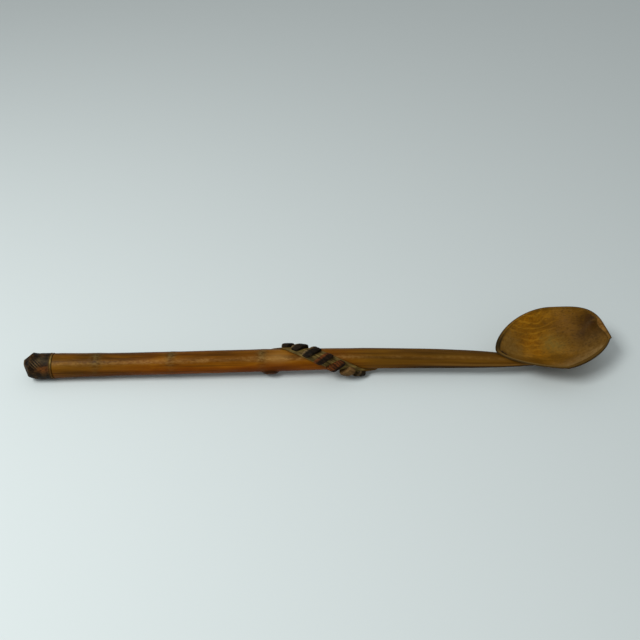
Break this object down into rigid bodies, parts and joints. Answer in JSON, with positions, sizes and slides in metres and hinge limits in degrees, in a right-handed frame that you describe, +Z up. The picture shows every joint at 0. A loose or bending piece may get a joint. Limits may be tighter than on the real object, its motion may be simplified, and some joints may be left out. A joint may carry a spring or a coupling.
{
  "type": "carved wooden spoon",
  "caption": "Carved wooden spoon with a long stick handle, a dark butt cap, a studded half-spiral band and a shallow pointed bowl pegged to the handle.",
  "frame": {"origin": "centre of the bounding box's bottom face: the middle of the spoon's footprint on the table", "axes": "+X along the handle from the butt to the bowl's tip, +Y across to the side the bowl leans to, +Z up"},
  "size_m": [0.3514, 0.048, 0.0239],
  "materials": {
    "stick_wood": "glossy orange-brown patina, duller along the shank",
    "cap_wood": "dark, mottled and worn",
    "collar_wood": "pale, bare",
    "band_wood": "pale olive-tan, bare",
    "lug_burnt": "burnt nearly black, worn reddish at the edges",
    "lug_worn": "burnt, worn back to tan",
    "bowl_wood": "oiled, with growth rings and a dark stain near the tip",
    "peg_wood": "dark end grain"
  },
  "bodies": {
    "root": {"handle_shaft": "stick_wood", "butt_cap": "cap_wood", "cap_collar": "collar_wood", "spiral_band": "band_wood", "band_lug_01": "lug_burnt", "band_lug_02": "lug_burnt", "band_lug_03": "lug_burnt", "band_lug_04": "lug_burnt", "band_lug_05": "lug_burnt", "band_lug_06": "lug_worn", "band_lug_07": "lug_burnt", "bowl": "bowl_wood", "bowl_peg_far": "peg_wood", "bowl_peg_near": "peg_wood"}
  },
  "joints": []
}
